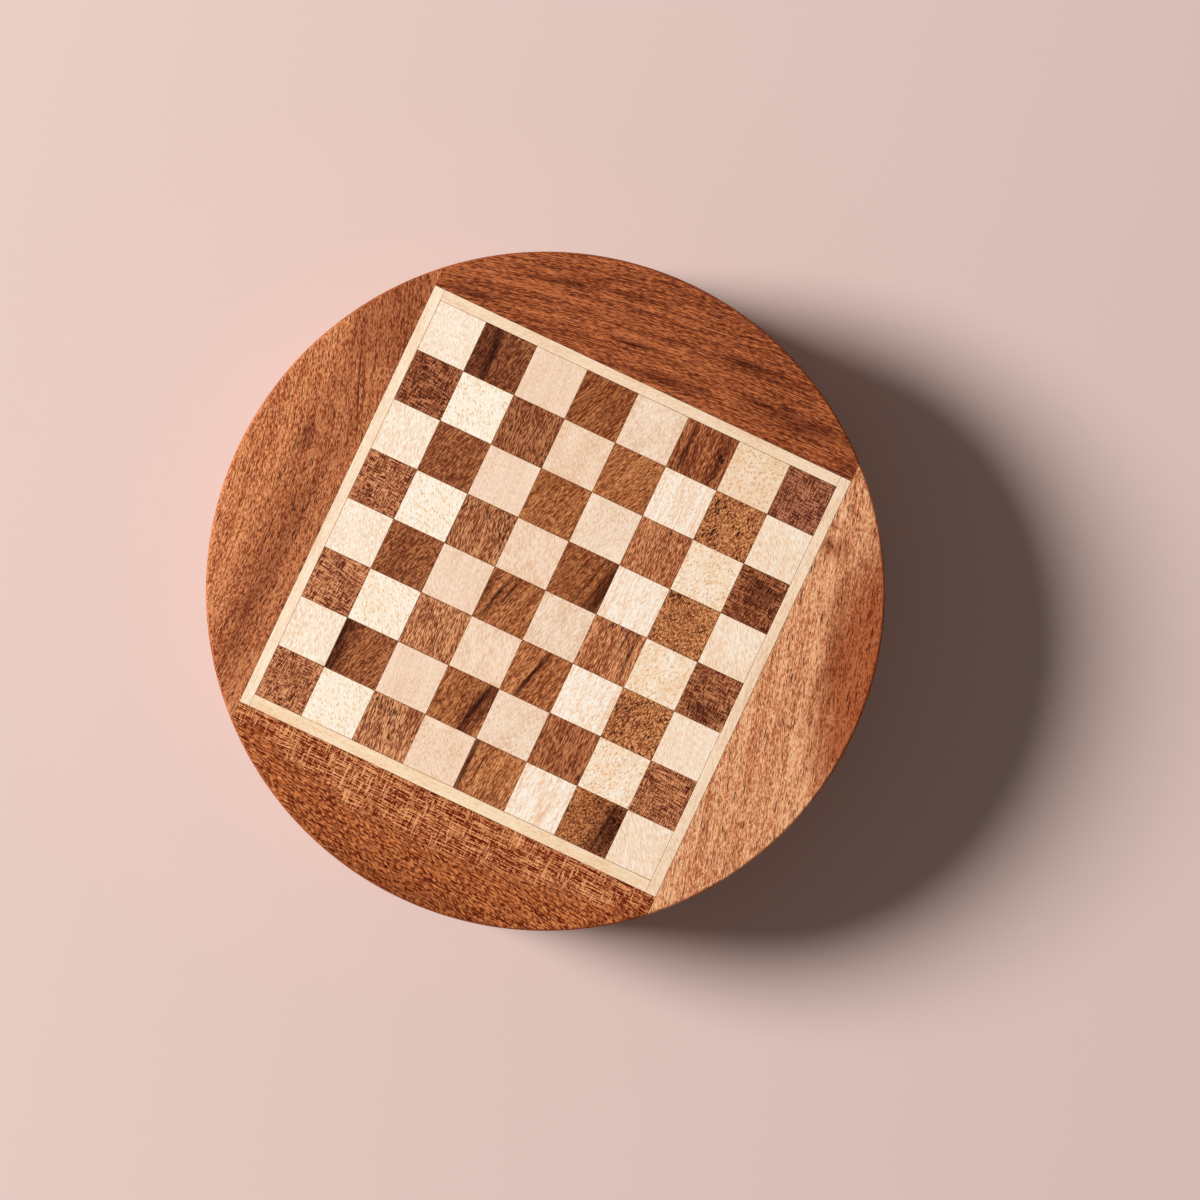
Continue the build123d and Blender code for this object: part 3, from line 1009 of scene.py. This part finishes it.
def softenFelt(low, high):
    # Rounds the edges, nets the faces and lets the nap rise and fall a little
    plan = feltPlan
    level = modelPlan["onTop"]
    setMode("EDIT")
    selectParts("edges", lambda e: abs(e.verts[0].co.z - e.verts[1].co.z) < level)
    bpy.ops.mesh.bevel(offset=plan["edge"], segments=plan["edgeSteps"], clamp_overlap=True)
    for axis in (0, 1):
        span = high[axis] - low[axis]
        lines = int(span / plan["cell"])
        for line in range(1, lines):
            point, normal = [0, 0, 0], [0, 0, 0]
            point[axis] = low[axis] + span * line / lines
            normal[axis] = 1
            bpy.ops.mesh.select_all(action="SELECT")
            bpy.ops.mesh.bisect(plane_co=point, plane_no=normal)
    mesh = bmesh.from_edit_mesh(bpy.context.object.data)
    for vertex in mesh.verts:
        vertex.select_set(abs(vertex.co.z - high.z) < level)
    mesh.select_flush(True)
    bmesh.update_edit_mesh(bpy.context.object.data)
    bpy.ops.transform.vertex_random(
        offset=plan["unevenness"], uniform=0, normal=1, seed=plan["seed"]
    )
    setMode("OBJECT")


def addFelts():
    felt = feltMaterial()
    low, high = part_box("foot_felt")
    copyNode("foot_felt")
    softenFelt(low, high)
    foot = finishPiece("drum_foot_felt", felt, "base", "foot_felt", "foot_felt")
    low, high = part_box("well_felts")
    for side, direction in (("light", 1), ("dark", -1)):
        copyNode("well_felts")
        setMode("EDIT")
        selectParts("faces", lambda face: face.calc_center_median().x * direction < 0)
        bpy.ops.mesh.delete(type="FACE")
        setMode("OBJECT")
        softenFelt(low, high)
        piece = finishPiece(f"{side}_well_felt", felt, "base", "well_felt", "well_felts")


addFelts()
print("felts laid")


# Drum and lid core: turned wood, whose ends show the rings; checkers turned from dowels

turnedLook = {
    "gloss": 0.13, "wave": (24, 2, 2), "satin": 0.42,
    "figure": [(0.27, 2.2, 90, 3.8), (0.55, 14, 90, 2), (2.2, 40, 90, 1), (9, 80, 90, 0.8)],
}

turnedWoods = {
    "base_drum": {
        "tones": ((198, 128, 84), (150, 86, 52), (78, 40, 24)), "seed": 41,
        "rings": (25, -70, 2.6, 5, 1.8), **turnedLook,
        "pores": [(0.34, 3.2, 90, 0.36, (56, 32, 24), 0.8, 9, 0.4)],
    },
    "lid_core": {
        "tones": ((206, 134, 88), (158, 92, 56), (84, 42, 24)), "seed": 43,
        "rings": (-30, 110, 2.2, 5, 1.8), **turnedLook,
        "pores": [(0.34, 3, 90, 0.36, (58, 34, 24), 0.8, 9, 0.4)],
    },
}

checkersPlan = {"count": 12, "turn": (90, 0, 0)}

checkerLook = {"gloss": 0.13, "wave": (9, 0.8, 0.8)}

checkerWoods = {
    "light": {
        "tones": ((246, 220, 176), (228, 192, 142), (186, 138, 88)), "seed": 51,
        "figure": [(0.4, 4, 0, 1.2), (1.1, 14, 0, 1.1), (9, 30, 0, 1.3)],
        "pores": [(0.16, 1.4, 0, 0.34, (150, 104, 62), 0.6, 4, 0.3)], "satin": 0.38, **checkerLook,
    },
    "dark": {
        "tones": ((150, 86, 56), (104, 54, 34), (48, 24, 18)), "seed": 52,
        "figure": [(0.4, 4, 0, 1.2), (1.1, 14, 0, 1.2), (9, 30, 0, 1.3)],
        "pores": [(0.2, 1.6, 0, 0.4, (30, 16, 12), 0.8, 4, 0.3)], "satin": 0.36, **checkerLook,
    },
}


def paintNode(name, material):
    node = cadNodes[name]
    node.data.materials.clear()
    node.data.materials.append(material)


def paintTurnedWood():
    for name, wood in turnedWoods.items():
        paintNode(name, woodMaterial(name.replace("_", " ") + " wood", wood))
    for colour, wood in checkerWoods.items():
        # The dowel's grain stands upright, so a checker's face is end grain
        material = woodMaterial(f"{colour} checker wood", wood, turn=checkersPlan["turn"])
        for number in range(checkersPlan["count"]):
            paintNode(f"{colour}_checker_{number + 1:02d}", material)


paintTurnedWood()
print("turned wood painted")


# Metal: rolled sheet, plated screw and magnets, stamped brass
# shine and dull are its two colours; line is the across, along and turn of its fine lines

metals = {
    "sheet_steel": {
        "shine": (176, 177, 178), "dull": (128, 128, 128), "rough": 0.38, "line": (0.3, 18, 90),
        "nodes": ["steel_sheet"],
    },
    "screw_steel": {
        "shine": (188, 188, 186), "dull": (140, 140, 136), "rough": 0.3, "line": (0.15, 3, 0),
        "nodes": ["pivot_screw"],
    },
    "washer_brass": {
        "shine": (214, 176, 104), "dull": (150, 112, 58), "rough": 0.3, "line": (0.2, 3, 20),
        "nodes": ["pivot_washers"],
    },
    "magnet_nickel": {
        "shine": (200, 198, 192), "dull": (150, 146, 138), "rough": 0.22, "line": (0.2, 2, 0),
        "nodes": [n for n in cadNodes if "_magnet_" in n],
    },
}

metalPlan = {
    "lineStrength": 1.4, "lineSwing": 0.25,
    "stainScale": 0.5, "stainEdge": (0.45, 0.75), "stainRoughness": 0.2,
    "bump": {"Strength": 0.3, "Distance": 0.00003},
}


def metalMaterial(name, metal):
    plan = metalPlan
    material, tree, shader = newMaterial(name.replace("_", " "))
    place = millimetres(tree)
    feeds = {"Place": place, "Strength": plan["lineStrength"]}
    feeds.update(zip(grainNumbers, metal["line"]))
    lines = useGroup(tree, grainFigure, feeds)["Tone"]
    stains = noise(tree, place, 3, plan["stainScale"])
    stains = easeBetween(tree, stains, *plan["stainEdge"])
    rough = calc("MULTIPLY_ADD", tree, lines, plan["lineSwing"], metal["rough"])
    rough = calc("MULTIPLY_ADD", tree, stains, plan["stainRoughness"], rough, clamp=True)
    feed(tree, shader, {
        "Base Color": mixColours(tree, stains, linear(metal["shine"]), linear(metal["dull"])),
        "Roughness": rough,
        "Normal": addNode(tree, "Bump", {"Height": lines, **plan["bump"]}).outputs[0],
        "Metallic": 1,
    })
    return material


def paintMetals():
    for name, metal in metals.items():
        material = metalMaterial(name, metal)
        for node in metal["nodes"]:
            paintNode(node, material)


paintMetals()
print("metal painted")


# Floor and light: a plain floor, a soft low lamp from the left and pale walls all round

stagePlan = {
    "floorRadius": 6.0,
    "floorSides": 96,
    "floorColour": (226, 201, 193),
    "floorCoat": {"Roughness": 0.9, "Specular IOR Level": 0.02},
    "lampWay": (-0.982, -0.189),
    "lampHeight": 32.5,
    "lampDistance": 3.4,
    "lampSize": 1.3,
    "lampLevel": 0.86,
    "wallColour": (250, 238, 230),
    "lighting": {"low": 0.15, "high": 0.6, "lowest": 0.45, "highest": 0.10},
    "seen": {"low": 0.15, "high": 0.8, "lowest": 0.8, "highest": 0.22},
}


def addFloor():
    plan = stagePlan
    bpy.ops.mesh.primitive_circle_add(
        vertices=plan["floorSides"], radius=plan["floorRadius"], fill_type="NGON"
    )
    floor = bpy.context.object
    floor.name = "floor"
    material, tree, shader = newMaterial("pale floor")
    feed(tree, shader, {"Base Color": linear(plan["floorColour"]), **plan["floorCoat"]})
    floor.data.materials.append(material)


def addLamp():
    plan = stagePlan
    height = math.radians(plan["lampHeight"])
    away = Vector((*plan["lampWay"], 0)).normalized() * math.cos(height)
    way = Vector((away.x, away.y, math.sin(height)))
    middle = Vector((0, 0, boardHigh.z))
    bpy.ops.object.light_add(type="AREA", location=middle + way * plan["lampDistance"])
    lamp = bpy.context.object
    lamp.name = "lamp"
    lamp.rotation_euler = way.to_track_quat("Z", "Y").to_euler()
    lamp.data.shape = "DISK"
    lamp.data.size = plan["lampSize"]
    # Light that makes a level surface at the board as bright as lampLevel times its colour
    perSquareMetre = math.pi * plan["lampLevel"] / math.sin(height)
    lamp.data.energy = perSquareMetre * math.pi * plan["lampDistance"] ** 2


def addWalls():
    # The world is brighter near the horizon, as pale walls are
    plan = stagePlan
    world = bpy.data.worlds.new("pale room")
    bpy.context.scene.world = world
    world.use_nodes = True
    tree = world.node_tree
    tree.nodes.clear()
    way = addNode(tree, "TexCoord").outputs["Generated"]
    up = split(tree, way)[2]
    seen = addNode(tree, "LightPath").outputs
    direct = calc("MAXIMUM", tree, seen["Is Camera Ray"], seen["Is Glossy Ray"])
    direct = calc("MAXIMUM", tree, direct, seen["Is Transmission Ray"])
    lighting = easeBetween(tree, up, **plan["lighting"])
    shown = easeBetween(tree, up, **plan["seen"])
    level = addNode(tree, "Mix", {0: direct, 2: lighting, 3: shown}).outputs[0]
    feeds = {"Color": linear(plan["wallColour"]), "Strength": level}
    background = addNode(tree, "Background", feeds)
    tree.links.new(background.outputs[0], addNode(tree, "OutputWorld").inputs[0])


addFloor()
addLamp()
addWalls()
bpy.context.scene.view_settings.view_transform = "Standard"
print("stage set")
